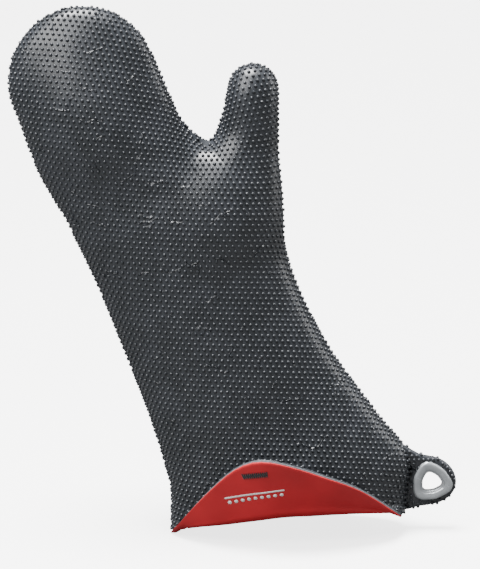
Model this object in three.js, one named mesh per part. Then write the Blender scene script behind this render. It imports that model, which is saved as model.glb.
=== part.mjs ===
// Gauntlet oven mitt, standing on its open cuff with the front of the cuff rolled out.
// Two laminated panels (nubbed rubber, foam, lining) are sewn round the edge and turned.
// Millimetres, +Z up, front panel facing -Y, origin under the middle of the mitt.
import * as THREE from 'three';

// Lengths up the middle of the mitt, from one station to the next
const hemDrop = 11;
const bellLength = 28.5;
const flareLength = 25;
const sleeveLength = 62;
const forearmLength = 65;
const wristLength = 41;
const palmLength = 70;
const knuckleLength = 41;
const fingerLength = 45.5;

// Widths at those stations, seam to seam
const cuffWidth = 186;
const bellSpread = 4;
const flareWidth = 174;
const sleeveWidth = 150;
const wristWidth = 146;
const thumbRootWidth = 156;
const palmWidth = 126;
const knuckleWidth = 118;
const fingerWidth = 115.5;

// Thumb
const thumbLength = 66;
const thumbWidth = 38.5;
const thumbHeading = 6.5;
const crotchPull = 14;

// Stance: the ring corner is lifted, and the mitt leans back a little
const cuffRise = 14;
const riseStart = 0.66;
const backLean = 0.09;

// Half depth of the mitt as a share of its half width
const cuffFullness = 0.5;
const handFullness = 0.44;
const thumbFullness = 0.95;

// Laminate, from the outside in
const layerGap = 0.3;
const seamGap = 0.4;
const shellThickness = 1;
const coreThickness = 1.6;
const liningThickness = 0.6;

// Rolled front of the cuff
const rollRadius = 7;
const rollLift = 15;
const rollFullness = 0.8;
const lapelPeak = 70;
const lapelLean = 16;
const lapelAcross = [0, 0.1, 0.2, 0.3, 0.4, 0.5, 0.65, 0.8, 0.9, 1];
const lapelHeights = [0, 0.4, 0.72, 0.95, 1, 0.94, 0.75, 0.5, 0.27, 0];
const cuffTuck = 0.25;
const tuckStations = 2;

// Seam allowance inside
const bindingWidth = 5;
const bindingThickness = 2.2;
const bindingClearance = 2;

// Hanging eyelet and the tab that holds it
const eyeletOut = 20;
const eyeletUp = 25;
const eyeletRadius = 15.4;
const eyeletCorner = 0.11;
const eyeletTurn = 107;
const eyeletBore = 7.6;
const eyeletDome = 2.2;
const eyeletShoulder = 0.7;
const eyeletMouth = 0.3;
const eyeletBevel = 0.8;
const eyeletCrown = 2.6;
const eyeletLip = 1.6;
const barrelWall = 1.6;
const barrelClearance = 0.3;
const tabMargin = 4.6;
const tabCorner = 0.03;
const tabThickness = 7;
const tabGap = 0.4;
const tabTop = 1.4;
const tabFrom = -98;
const tabTo = 100;

// Bar tack and printed mark on the lapel, measured down from its rim
const tackWidth = 24;
const tackHeight = 5;
const tackThickness = 0.8;
const tackFromRim = 5;
const markWidth = 46;
const markHeight = 11;
const markThickness = 0.4;
const markFromRim = 19;
const lapelMiddle = 0.355;

// Mesh rows and columns
const columns = 10;
const sleeveRows = 18;
const rootRows = 6;
const fingerRows = 9;
const thumbRows = 7;
const rollRows = 5;
const lapelRows = 4;
const reliefSweeps = 3000;
const ringSteps = 48;
const tipCorner = 48;
const tipCrowding = 0.8;
const patchSteps = { across: 8, up: 2 };
const tabSteps = 20;

const turn = THREE.MathUtils.degToRad;
const mix = THREE.MathUtils.lerp;
const smooth = THREE.MathUtils.smoothstep;
const at = (x, z) => new THREE.Vector3(x, 0, z);
const rowCount = sleeveRows + rootRows + fingerRows;
const hemRows = rollRows + lapelRows;
const laminate = shellThickness + coreThickness + liningThickness + 2 * layerGap;
const cuffTilt = THREE.MathUtils.radToDeg(Math.asin(cuffRise / cuffWidth));

// heading leans the way up to the station, tilt turns the line across it
const stations = [
  { along: 0, heading: 0, tilt: cuffTilt, width: cuffWidth },
  { along: bellLength, heading: -2.1, tilt: 8, width: cuffWidth + bellSpread },
  { along: flareLength, heading: 30.6, tilt: 14, width: flareWidth },
  { along: sleeveLength, heading: 28.4, tilt: 21.5, width: sleeveWidth },
  { along: forearmLength, heading: 23, tilt: 26, width: wristWidth },
  { along: wristLength, heading: 14.8, tilt: 26.6, width: thumbRootWidth },
  { along: palmLength, heading: 37.7, tilt: 28.1, width: palmWidth },
  { along: knuckleLength, heading: 35.4, tilt: 29.7, width: knuckleWidth },
  { along: fingerLength, heading: 21.9, tilt: 30, width: fingerWidth },
];
const rootStation = 5;
const crotchStation = 6;
const capStation = stations.length - 1;

const spot = at(0, hemDrop + cuffRise / 2);
for (const station of stations) {
  spot.x -= station.along * Math.sin(turn(station.heading));
  spot.z += station.along * Math.cos(turn(station.heading));
  const half = station.width / 2;
  const across = at(Math.cos(turn(station.tilt)), Math.sin(turn(station.tilt))).multiplyScalar(half);
  station.middle = spot.clone();
  station.left = spot.clone().sub(across);
  station.right = spot.clone().add(across);
}

// Thumb, from the slanted root line up to its round end
const rootLow = stations[rootStation].right;
const crotch = stations[crotchStation].right;
const thumbRadius = thumbWidth / 2;
const thumbAxis = at(Math.sin(turn(thumbHeading)), Math.cos(turn(thumbHeading)));
const thumbMiddle = rootLow.clone().lerp(crotch, 0.5).addScaledVector(thumbAxis, thumbLength);
const thumbAcross = at(thumbAxis.z, -thumbAxis.x).multiplyScalar(thumbRadius);
const thumbInner = thumbMiddle.clone().sub(thumbAcross);
const thumbOuter = thumbMiddle.clone().add(thumbAcross);

// Round end of a finger or thumb, between two angles
class Arc extends THREE.Curve {
  constructor(middle, radius, from, to) {
    super();
    Object.assign(this, { middle, radius, from: turn(from), to: turn(to) });
  }

  getPoint(t) {
    const angle = mix(this.from, this.to, t);
    return this.middle.clone().add(at(this.radius * Math.cos(angle), this.radius * Math.sin(angle)));
  }
}

// Part of a longer curve, between two of its shares
class Stretch extends THREE.Curve {
  constructor(curve, from, to) {
    super();
    Object.assign(this, { curve, from, to });
  }

  getPoint(t) {
    return this.curve.getPoint(mix(this.from, this.to, t));
  }
}

function join(...curves) {
  const path = new THREE.CurvePath();
  path.curves.push(...curves);
  return path;
}

// Seam line, as curves between the stations
const leftEdge = new THREE.CatmullRomCurve3(stations.map((s) => s.left));
const rightStations = stations.slice(0, rootStation + 1).map((s) => s.right);
const rightEdge = new THREE.CatmullRomCurve3([...rightStations, thumbOuter]);
const alongLeft = (v) => leftEdge.getPoint(v / capStation);
const alongRight = (v) => rightEdge.getPoint(v / (rootStation + 1));

const base = stations[crotchStation];
const knuckle = stations[crotchStation + 1];
const cap = stations[capStation];
const capArc = (from, to) => new Arc(cap.middle, fingerWidth / 2, cap.tilt + from, cap.tilt + to);
const crotchBend = crotch.clone().add(at(-crotchPull, 0));
const fingerPatch = {
  low: new THREE.LineCurve3(base.left, crotch),
  high: capArc(180 - tipCorner, tipCorner),
  near: join(new Stretch(leftEdge, crotchStation / capStation, 1), capArc(180, 180 - tipCorner)),
  far: join(
    new THREE.QuadraticBezierCurve3(crotch, crotchBend, knuckle.right),
    new THREE.LineCurve3(knuckle.right, cap.right),
    capArc(0, tipCorner),
  ),
};

const tipArc = (from, to) => new Arc(thumbMiddle, thumbRadius, from - thumbHeading, to - thumbHeading);
const thumbBend = crotch.clone().add(at(thumbRadius / 2, 1));
const thumbPatch = {
  low: new THREE.LineCurve3(rootLow, crotch),
  high: tipArc(tipCorner, 180 - tipCorner),
  near: join(new Stretch(rightEdge, rootStation / (rootStation + 1), 1), tipArc(0, tipCorner)),
  far: join(new THREE.QuadraticBezierCurve3(crotch, thumbBend, thumbInner), tipArc(180, 180 - tipCorner)),
};

// Closer together towards the seam, where the panel turns fastest
const edgeShare = (i, n) => (1 - Math.cos((Math.PI * i) / n)) / 2;
const tipShare = (k, n) => mix(k / n, Math.sin((Math.PI * k) / (2 * n)), tipCrowding);

// Point of a patch, blended from its four edges: s runs across, w runs up
function patchPoint({ low, high, near, far }, s, w) {
  const point = low.getPoint(s).multiplyScalar(1 - w).addScaledVector(high.getPoint(s), w);
  point.addScaledVector(near.getPoint(w), 1 - s).addScaledVector(far.getPoint(w), s);
  point.addScaledVector(low.getPoint(0), -(1 - s) * (1 - w)).addScaledVector(low.getPoint(1), -s * (1 - w));
  return point.addScaledVector(high.getPoint(0), -(1 - s) * w).addScaledVector(high.getPoint(1), -s * w);
}

const quadTriangles = ([a, b, c, d]) => [a, b, c, a, c, d];
const flipped = ([a, b, c, d]) => [a, d, c, b];

const flat = [];
const rowStation = [];

function sleeveRow(v) {
  const far = v <= rootStation ? alongRight(v) : rootLow.clone().lerp(crotch, v - rootStation);
  for (let i = 0; i <= columns; i++) {
    flat.push(alongLeft(v).lerp(far, edgeShare(i, columns)));
  }
  rowStation.push(v);
}

function fingerRow(k) {
  const w = tipShare(k, fingerRows);
  for (let i = 0; i <= columns; i++) {
    flat.push(patchPoint(fingerPatch, edgeShare(i, columns), w));
  }
  rowStation.push(mix(crotchStation, capStation, w));
}

for (let k = 0; k < sleeveRows; k++) {
  sleeveRow((rootStation * k) / sleeveRows);
}
for (let k = 0; k <= rootRows; k++) {
  sleeveRow(rootStation + edgeShare(k, rootRows));
}
for (let k = 1; k <= fingerRows; k++) {
  fingerRow(k);
}

const bodyPoint = (k, i) => k * (columns + 1) + i;
const thumbStart = flat.length;
const thumbPoint = (c, r) =>
  c === 0 ? bodyPoint(sleeveRows + r, columns) : thumbStart + (c - 1) * (rootRows + 1) + r;

for (let c = 1; c <= thumbRows; c++) {
  for (let r = 0; r <= rootRows; r++) {
    flat.push(patchPoint(thumbPatch, edgeShare(r, rootRows), tipShare(c, thumbRows)));
  }
}

const cells = [];
for (let k = 0; k < rowCount; k++) {
  for (let i = 0; i < columns; i++) {
    cells.push([bodyPoint(k, i), bodyPoint(k, i + 1), bodyPoint(k + 1, i + 1), bodyPoint(k + 1, i)]);
  }
}
for (let c = 0; c < thumbRows; c++) {
  for (let r = 0; r < rootRows; r++) {
    cells.push([thumbPoint(c, r), thumbPoint(c + 1, r), thumbPoint(c + 1, r + 1), thumbPoint(c, r + 1)]);
  }
}

// Seam vertices in order, up the left side, round the tips and down the right side
const seam = [];
for (let k = 0; k <= rowCount; k++) {
  seam.push(bodyPoint(k, 0));
}
for (let i = 1; i < columns; i++) {
  seam.push(bodyPoint(rowCount, i));
}
for (let k = rowCount; k >= sleeveRows + rootRows; k--) {
  seam.push(bodyPoint(k, columns));
}
for (let c = 1; c <= thumbRows; c++) {
  seam.push(thumbPoint(c, rootRows));
}
for (let r = rootRows - 1; r >= 0; r--) {
  seam.push(thumbPoint(thumbRows, r));
}
for (let c = thumbRows - 1; c >= 1; c--) {
  seam.push(thumbPoint(c, 0));
}
for (let k = sleeveRows; k >= 0; k--) {
  seam.push(bodyPoint(k, columns));
}

// Height of an inflated membrane held at the seam and free at the cuff
function inflate() {
  const links = flat.map(() => new Map());
  const areas = flat.map(() => 0);
  const link = (a, b, weight) => {
    links[a].set(b, (links[a].get(b) ?? 0) + weight);
    links[b].set(a, (links[b].get(a) ?? 0) + weight);
  };
  for (const [a, b, c, d] of cells) {
    for (const corner of [[a, b, c], [a, c, d]]) {
      const [p, q, r] = corner.map((n) => flat[n]);
      const twice = q.clone().sub(p).cross(r.clone().sub(p)).length();
      for (let n = 0; n < 3; n++) {
        const [o, s, t] = [corner[n], corner[(n + 1) % 3], corner[(n + 2) % 3]];
        const lean = flat[s].clone().sub(flat[o]).dot(flat[t].clone().sub(flat[o]));
        link(s, t, lean / twice / 2);
        areas[o] += twice / 6;
      }
    }
  }
  const heights = flat.map(() => 0);
  const held = new Set(seam);
  for (let sweep = 0; sweep < reliefSweeps; sweep++) {
    for (let n = 0; n < flat.length; n++) {
      if (held.has(n)) continue;
      let pull = areas[n];
      let total = 0;
      for (const [m, weight] of links[n]) {
        pull += weight * heights[m];
        total += weight;
      }
      heights[n] = pull / total;
    }
  }
  return heights.map((height) => Math.sqrt(Math.max(0, 2 * height)));
}

function fullness(n) {
  if (n < thumbStart) {
    const v = rowStation[Math.floor(n / (columns + 1))];
    return mix(cuffFullness, handFullness, smooth(v, 0, crotchStation));
  }
  const c = 1 + Math.floor((n - thumbStart) / (rootRows + 1));
  return mix(handFullness, thumbFullness, smooth(c, 0, thumbRows - 2));
}

const depths = inflate().map((height, n) => Math.max(height * fullness(n), seamGap / 2));
const middleY = (z) => backLean * z;

// Share of the way across the cuff, and how far the front is rolled there
const acrossCuff = Array.from({ length: columns + 1 }, (_, i) => edgeShare(i, columns));
const lapelCurve = new THREE.CubicInterpolant(lapelAcross, lapelHeights, 1, new Float32Array(1));
const lapelShare = (q) => lapelCurve.evaluate(q)[0];
const rollShare = (q) => Math.max(0, Math.sin(Math.PI * q)) ** rollFullness;
const cornerLine = (q) => cuffRise * q;

// A panel holds points, outward normals and cells; side is -1 in front and 1 behind
function bodyPanel(side) {
  const points = flat.map((p, n) => new THREE.Vector3(p.x, middleY(p.z) + side * depths[n], p.z));
  const quads = cells.map((cell) => (side < 0 ? cell : flipped(cell)));
  return { side, points, quads, border: [...seam] };
}

function addHem(panel, rows, placePoint) {
  const start = panel.points.length;
  const hemPoint = (e, i) => (e === 0 ? bodyPoint(0, i) : start + (e - 1) * (columns + 1) + i);
  for (let e = 1; e <= rows; e++) {
    for (let i = 0; i <= columns; i++) {
      panel.points.push(placePoint(e, i));
    }
    for (let i = 0; i < columns; i++) {
      const quad = [hemPoint(e, i), hemPoint(e, i + 1), hemPoint(e - 1, i + 1), hemPoint(e - 1, i)];
      panel.quads.push(panel.side < 0 ? quad : flipped(quad));
    }
    panel.border.unshift(hemPoint(e, 0));
    panel.border.push(hemPoint(e, columns));
  }
  panel.hemPoint = hemPoint;
}

// Where the seam is, the normal lies in the seam's own plane
function findNormals(panel) {
  const normals = panel.points.map(() => new THREE.Vector3());
  for (const quad of panel.quads) {
    const [a, b, c, d] = quad.map((n) => panel.points[n]);
    const normal = c.clone().sub(a).cross(d.clone().sub(b));
    quad.forEach((n) => normals[n].add(normal));
  }
  const border = panel.border;
  border.forEach((n, k) => {
    const before = panel.points[border[Math.max(0, k - 1)]];
    const after = panel.points[border[Math.min(border.length - 1, k + 1)]];
    normals[n].set(before.z - after.z, 0, after.x - before.x);
  });
  panel.normals = normals.map((normal) => normal.normalize());
}

// Front panel: tucked in over the cuff, rolled outwards and turned up as a lapel
function frontPanel() {
  const panel = bodyPanel(-1);
  for (let k = 0; rowStation[k] < tuckStations; k++) {
    const fade = (1 - rowStation[k] / tuckStations) ** 2;
    acrossCuff.forEach((q, i) => {
      const point = panel.points[bodyPoint(k, i)];
      const raised = rollLift + rollRadius + laminate - hemDrop;
      point.y += depths[bodyPoint(k, i)] * cuffTuck * rollShare(q) * fade;
      point.z += raised * rollShare(q) * fade;
    });
  }
  addHem(panel, hemRows, (e, i) => {
    const q = acrossCuff[i];
    const from = panel.points[bodyPoint(0, i)];
    const roll = Math.min(e / rollRows, 1) * Math.PI;
    const rise = Math.max(0, e - rollRows) / lapelRows;
    const size = rollRadius * rollShare(q);
    const rim = cornerLine(q) + lapelPeak * lapelShare(q);
    const hang = hemDrop * (1 - rollShare(q)) * (e / hemRows);
    const foot = from.z - size * Math.sin(roll) - hang;
    return new THREE.Vector3(
      from.x,
      from.y - size * (1 - Math.cos(roll)) - lapelLean * rise * rollShare(q),
      e <= rollRows ? foot : mix(foot, rim, rise),
    );
  });
  findNormals(panel);
  return panel;
}

// Back panel: its cut edge stands on the floor
function backPanel() {
  const panel = bodyPanel(1);
  addHem(panel, 1, (e, i) => {
    const from = panel.points[bodyPoint(0, i)];
    return new THREE.Vector3(from.x, from.y, cuffRise * smooth(acrossCuff[i], riseStart, 1));
  });
  findNormals(panel);
  for (let i = 0; i <= columns; i++) {
    panel.normals[panel.hemPoint(1, i)].setZ(0).normalize();
  }
  return panel;
}

function solid(points, triangles) {
  const geometry = new THREE.BufferGeometry();
  const places = points.flatMap((p) => p.toArray());
  geometry.setAttribute('position', new THREE.Float32BufferAttribute(places, 3));
  geometry.setIndex(triangles);
  geometry.computeVertexNormals();
  return geometry;
}

// Closed sheet between two depths below a panel's outer face
function layer(panel, near, far) {
  const count = panel.points.length;
  const sink = (depth) => panel.points.map((p, n) => p.clone().addScaledVector(panel.normals[n], -depth));
  const triangles = panel.quads.flatMap(quadTriangles);
  triangles.push(...panel.quads.flatMap((quad) => quadTriangles(flipped(quad).map((n) => n + count))));
  const edges = new Set();
  const sides = panel.quads.flatMap((quad) => quad.map((n, k) => [n, quad[(k + 1) % 4]]));
  sides.forEach(([a, b]) => edges.add(`${a} ${b}`));
  for (const [a, b] of sides) {
    if (!edges.has(`${b} ${a}`)) {
      triangles.push(...quadTriangles([b, a, a + count, b + count]));
    }
  }
  return solid([...sink(near), ...sink(far)], triangles);
}

// Patch that follows a panel's lining side, lifted clear of it
function lapelPatch(panel, width, height, fromRim, thickness) {
  const steps = patchSteps;
  const depth = laminate + layerGap;
  const points = [];
  const rowHeight = panel.points[panel.hemPoint(hemRows, columns / 2)]
    .distanceTo(panel.points[panel.hemPoint(hemRows - 1, columns / 2)]);
  const sample = (q, e, drop) => {
    const column = Math.acos(1 - 2 * q) / Math.PI * columns;
    const [i, k] = [Math.floor(column), Math.floor(e)];
    const lifted = (row, col) => {
      const n = panel.hemPoint(row, col);
      return panel.points[n].clone().addScaledVector(panel.normals[n], -drop);
    };
    const low = lifted(k, i).lerp(lifted(k, i + 1), column - i);
    const high = lifted(k + 1, i).lerp(lifted(k + 1, i + 1), column - i);
    return low.lerp(high, e - k);
  };
  for (const drop of [depth, depth + thickness]) {
    for (let v = 0; v <= steps.up; v++) {
      for (let u = 0; u <= steps.across; u++) {
        const q = lapelMiddle + (u / steps.across - 0.5) * (width / cuffWidth);
        const below = fromRim + height * (1 - v / steps.up);
        points.push(sample(q, hemRows - below / rowHeight, drop));
      }
    }
  }
  const rowLength = steps.across + 1;
  const count = rowLength * (steps.up + 1);
  const cell = (u, v) => v * rowLength + u;
  const quads = [];
  for (let v = 0; v < steps.up; v++) {
    for (let u = 0; u < steps.across; u++) {
      quads.push([cell(u, v), cell(u, v + 1), cell(u + 1, v + 1), cell(u + 1, v)]);
    }
  }
  const triangles = quads.flatMap((quad) => quadTriangles(flipped(quad).map((n) => n + count)));
  triangles.push(...quads.flatMap(quadTriangles));
  const edge = [];
  for (let u = 0; u < steps.across; u++) edge.push(cell(u, 0));
  for (let v = 0; v < steps.up; v++) edge.push(cell(steps.across, v));
  for (let u = steps.across; u > 0; u--) edge.push(cell(u, steps.up));
  for (let v = steps.up; v > 0; v--) edge.push(cell(0, v));
  edge.forEach((a, n) => {
    const b = edge[(n + 1) % edge.length];
    triangles.push(...quadTriangles([a, b, b + count, a + count]));
  });
  return solid(points, triangles);
}

// Seam allowance: a strip that stands into the hollow along the seam
function seamBinding(panel) {
  const border = panel.border;
  const clear = laminate + bindingClearance;
  const insets = [clear, clear + bindingWidth];
  const sides = [bindingThickness / 2, -bindingThickness / 2];
  const points = border.flatMap((n) => {
    const section = [[0, 0], [1, 0], [1, 1], [0, 1]].map(([i, k]) => [insets[i], sides[k]]);
    return section.map(([inset, shift]) => {
      const point = panel.points[n].clone().addScaledVector(panel.normals[n], -inset);
      point.y = middleY(point.z) + shift;
      return point;
    });
  });
  const triangles = quadTriangles([0, 1, 2, 3]);
  for (let k = 0; k < border.length - 1; k++) {
    for (let c = 0; c < 4; c++) {
      const next = (c + 1) % 4;
      triangles.push(...quadTriangles([4 * k + c, 4 * k + 4 + c, 4 * k + 4 + next, 4 * k + next]));
    }
  }
  const last = 4 * (border.length - 1);
  triangles.push(...quadTriangles([3, 2, 1, 0]).map((n) => n + last));
  return solid(points, triangles);
}

// Rounded triangle of the eyelet, as a distance from its middle
const lobe = (angle) => Math.cos(3 * (angle - turn(eyeletTurn)));
const triangleRadius = (angle, radius, corner) => radius * (1 + corner * lobe(angle));
const eyeletEdge = (angle, inset) => triangleRadius(angle, eyeletRadius - inset, eyeletCorner);
const boreInset = eyeletRadius - eyeletBore;
const barrelInset = boreInset - barrelWall;
const rimCorner = at(stations[0].right.x, cuffRise);
const eyeletMiddle = rimCorner.clone().add(at(eyeletOut, eyeletUp));
const tabY = middleY(eyeletMiddle.z);

// Ring swept round the rounded triangle: profile pairs are inset and Y
function eyeletRing(profile) {
  const points = [];
  for (let k = 0; k < ringSteps; k++) {
    const angle = (2 * Math.PI * k) / ringSteps;
    for (const [inset, y] of profile) {
      const reach = eyeletEdge(angle, inset);
      const x = eyeletMiddle.x + reach * Math.cos(angle);
      points.push(new THREE.Vector3(x, tabY + y, eyeletMiddle.z + reach * Math.sin(angle)));
    }
  }
  const triangles = [];
  const count = profile.length;
  for (let k = 0; k < ringSteps; k++) {
    for (let c = 0; c < count; c++) {
      const [here, there] = [k * count, ((k + 1) % ringSteps) * count];
      const next = (c + 1) % count;
      triangles.push(...quadTriangles([here + c, there + c, there + next, here + next]));
    }
  }
  return solid(points, triangles);
}

// Flange in front and the barrel that passes through the tab to the back flange
function frontEyelet() {
  const face = -tabThickness / 2 - layerGap;
  const tail = tabThickness / 2 + layerGap;
  return eyeletRing([
    [0, face],
    [eyeletBevel, face - eyeletDome * eyeletShoulder],
    [eyeletCrown, face - eyeletDome],
    [boreInset - eyeletLip, face - eyeletDome],
    [boreInset, face - eyeletDome * eyeletMouth],
    [boreInset, tail],
    [barrelInset, tail],
    [barrelInset, face],
  ]);
}

function backEyelet() {
  const face = tabThickness / 2 + layerGap;
  return eyeletRing([
    [0, face],
    [barrelInset - barrelClearance, face],
    [barrelInset - barrelClearance, face + eyeletDome],
    [eyeletBevel, face + eyeletDome],
  ]);
}

// Tab: the two panels' ear at the cuff corner, with its hole for the barrel
function tabSolid() {
  const shape = new THREE.Shape();
  shape.moveTo(rimCorner.x + tabGap, rimCorner.z);
  for (let k = 0; k <= tabSteps; k++) {
    const angle = turn(mix(tabFrom, tabTo, k / tabSteps));
    const reach = triangleRadius(angle, eyeletRadius + tabMargin, tabCorner);
    shape.lineTo(eyeletMiddle.x + reach * Math.cos(angle), eyeletMiddle.z + reach * Math.sin(angle));
  }
  for (const v of rowStation.filter((share) => share < tabTop).reverse()) {
    const seamSpot = alongRight(v);
    shape.lineTo(seamSpot.x + tabGap, seamSpot.z);
  }
  const hole = new THREE.Path();
  for (let k = 0; k < ringSteps; k++) {
    const angle = (2 * Math.PI * k) / ringSteps;
    const reach = eyeletEdge(angle, barrelInset - barrelClearance);
    const [x, z] = [eyeletMiddle.x + reach * Math.cos(angle), eyeletMiddle.z + reach * Math.sin(angle)];
    if (k === 0) {
      hole.moveTo(x, z);
    } else {
      hole.lineTo(x, z);
    }
  }
  shape.holes.push(hole);
  const geometry = new THREE.ExtrudeGeometry(shape, { depth: tabThickness, bevelEnabled: false });
  geometry.rotateX(Math.PI / 2);
  geometry.translate(0, tabY + tabThickness / 2, 0);
  return geometry;
}

const finishes = {
  rubber: { color: 0x33363a, roughness: 0.5, metalness: 0 },
  foam: { color: 0x6a6c70, roughness: 0.9, metalness: 0 },
  lining: { color: 0xa92c30, roughness: 0.75, metalness: 0 },
  binding: { color: 0x7d2226, roughness: 0.8, metalness: 0 },
  ring: { color: 0xadb1b3, roughness: 0.3, metalness: 0 },
  thread: { color: 0x141414, roughness: 0.7, metalness: 0 },
  print: { color: 0xf2f2f0, roughness: 0.6, metalness: 0 },
};

const mitt = new THREE.Group();

function add(name, geometry, finish) {
  const mesh = new THREE.Mesh(geometry, new THREE.MeshStandardMaterial(finishes[finish]));
  mesh.name = name;
  mitt.add(mesh);
}

const coreNear = shellThickness + layerGap;
const liningNear = coreNear + coreThickness + layerGap;
const front = frontPanel();
const back = backPanel();
for (const [name, panel] of [['front', front], ['back', back]]) {
  add(`${name}_shell`, layer(panel, 0, shellThickness), 'rubber');
  add(`${name}_core`, layer(panel, coreNear, coreNear + coreThickness), 'foam');
  add(`${name}_lining`, layer(panel, liningNear, laminate), 'lining');
}
add('seam_binding', seamBinding(back), 'binding');
add('hang_tab', tabSolid(), 'rubber');
add('eyelet_front', frontEyelet(), 'ring');
add('eyelet_back', backEyelet(), 'ring');
add('label_bartack', lapelPatch(front, tackWidth, tackHeight, tackFromRim, tackThickness), 'thread');
add('printed_mark', lapelPatch(front, markWidth, markHeight, markFromRim, markThickness), 'print');

// Origin under the middle of the whole mitt
const box = new THREE.Box3().setFromObject(mitt);
const middle = box.getCenter(new THREE.Vector3());
mitt.position.set(-middle.x, -middle.y, -box.min.z);

export default mitt;
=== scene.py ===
import math

import bmesh
import bpy
from mathutils import Matrix, Vector, noise
from mathutils.bvhtree import BVHTree
from mathutils.geometry import barycentric_transform
from mathutils.kdtree import KDTree


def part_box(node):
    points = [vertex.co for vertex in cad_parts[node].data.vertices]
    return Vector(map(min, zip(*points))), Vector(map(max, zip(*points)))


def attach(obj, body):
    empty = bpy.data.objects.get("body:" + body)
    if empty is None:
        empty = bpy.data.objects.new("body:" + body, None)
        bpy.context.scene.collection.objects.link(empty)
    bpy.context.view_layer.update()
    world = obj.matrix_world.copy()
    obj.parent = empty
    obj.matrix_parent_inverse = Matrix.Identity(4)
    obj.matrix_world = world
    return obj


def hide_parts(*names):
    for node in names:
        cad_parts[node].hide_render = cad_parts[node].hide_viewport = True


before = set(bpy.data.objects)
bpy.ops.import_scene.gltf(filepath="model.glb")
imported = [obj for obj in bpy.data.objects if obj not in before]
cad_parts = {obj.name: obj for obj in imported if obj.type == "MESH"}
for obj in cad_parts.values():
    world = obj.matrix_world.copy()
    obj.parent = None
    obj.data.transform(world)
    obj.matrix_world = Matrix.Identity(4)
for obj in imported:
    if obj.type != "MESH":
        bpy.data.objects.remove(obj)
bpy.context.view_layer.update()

mm = 0.001
scene = bpy.context.scene

weld = 0.01 * mm  # corners of a solid's loose triangles this near are one point
flatMap = "flatPattern"  # UV map in metres: a panel as it lay before it was sewn


def toLinear(code):  # sRGB hex, such as "a92c30", to the linear colour a shader wants
    parts = [int(code[k:k + 2], 16) / 255 for k in (0, 2, 4)]
    return [p / 12.92 if p <= 0.04045 else ((p + 0.055) / 1.055) ** 2.4 for p in parts] + [1.0]


def addNode(tree, kind, links=None, **settings):  # one node, its settings, and what feeds its inputs
    node = tree.nodes.new(kind)
    for name, value in settings.items():
        setattr(node, name, value)
    for key, value in (links or {}).items():
        if isinstance(value, bpy.types.NodeSocket):
            tree.links.new(value, node.inputs[key])
        else:
            node.inputs[key].default_value = value
    return node


def addPiece(name, bm, material):  # a finished mesh object at the origin
    mesh = bpy.data.meshes.new(name)
    bm.to_mesh(mesh)
    bm.free()
    for face in mesh.polygons:
        face.use_smooth = True
    mesh.materials.append(material)
    piece = bpy.data.objects.new(name, mesh)
    scene.collection.objects.link(piece)
    return piece


def evaluatedCopy(piece):  # mesh with the modifiers worked in
    bpy.context.view_layer.update()
    graph = bpy.context.evaluated_depsgraph_get()
    return bpy.data.meshes.new_from_object(piece.evaluated_get(graph), depsgraph=graph)


def newFinish(name, colour, roughness, **sockets):  # a material with its plain shader values
    finish = bpy.data.materials.new(name)
    finish.use_nodes = True
    tree = finish.node_tree
    shader = tree.nodes["Principled BSDF"]
    shader.inputs["Base Color"].default_value = toLinear(colour)
    shader.inputs["Roughness"].default_value = roughness
    for key, value in sockets.items():
        shader.inputs[key.replace("_", " ")].default_value = value
    return finish, tree, shader


def mottle(tree, shader, low, high, scale, detail=4.0):  # two tones of one colour, from noise
    where = addNode(tree, "ShaderNodeTexCoord").outputs["Object"]
    cloud = addNode(tree, "ShaderNodeTexNoise", {"Vector": where, "Scale": scale, "Detail": detail})
    ramp = addNode(tree, "ShaderNodeValToRGB", {"Fac": cloud.outputs["Fac"]})
    ramp.color_ramp.elements[0].position = 0.35
    ramp.color_ramp.elements[0].color = toLinear(low)
    ramp.color_ramp.elements[1].position = 0.65
    ramp.color_ramp.elements[1].color = toLinear(high)
    tree.links.new(ramp.outputs["Color"], shader.inputs["Base Color"])
    return where, cloud


def grain(tree, shader, where, size, height, strength):  # fine bump, size in metres
    fine = addNode(tree, "ShaderNodeTexNoise", {"Vector": where, "Scale": 1 / size, "Detail": 3.0})
    bump = addNode(tree, "ShaderNodeBump", {"Height": fine.outputs["Fac"], "Distance": height, "Strength": strength})
    tree.links.new(bump.outputs["Normal"], shader.inputs["Normal"])
    return fine, bump


def roughBetween(tree, shader, factor, low, high):  # gloss that varies with a pattern
    spread = addNode(tree, "ShaderNodeMapRange", {"Value": factor, "To Min": low, "To Max": high})
    tree.links.new(spread.outputs["Result"], shader.inputs["Roughness"])


rubberLook = {"bloomScale": 60.0, "pore": 0.9 * mm, "poreDepth": 0.2 * mm, "glossy": 0.28, "dull": 0.4,
              "creaseCell": 24 * mm, "creaseBend": 9 * mm, "bendScale": 90.0, "creaseWidth": 0.035,
              "creaseHeight": 0.7 * mm, "patchScale": 70.0, "patchFrom": 0.6, "patchTo": 0.66}


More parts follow.
